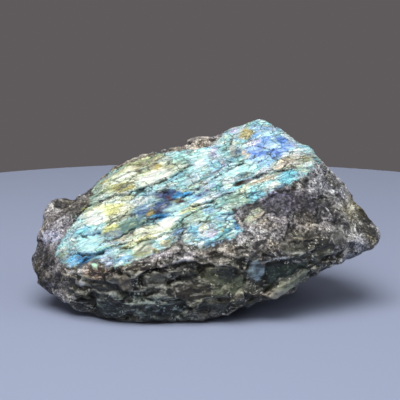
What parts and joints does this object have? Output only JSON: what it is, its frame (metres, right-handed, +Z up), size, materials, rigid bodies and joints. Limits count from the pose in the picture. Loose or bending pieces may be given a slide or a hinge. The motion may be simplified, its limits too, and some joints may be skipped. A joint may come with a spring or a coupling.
{
  "type": "rough labradorite chunk",
  "caption": "Rough chunk of labradorite feldspar: one broad cleavage face with a blue, teal and gold flash, and coarse grey broken rock on every other side, resting on its flat underside.",
  "frame": {"origin": "on the surface that the chunk rests on, below the middle of its bounding box", "axes": "+X to the right along the chunk's length, seen from the front, where the broad flashing face leans towards the viewer; +Y to its back; +Z up"},
  "size_m": [0.121, 0.069, 0.0611],
  "materials": {
    "labradorite": "satin"
  },
  "bodies": {
    "root": {"labradorite_chunk": "labradorite"}
  },
  "joints": []
}
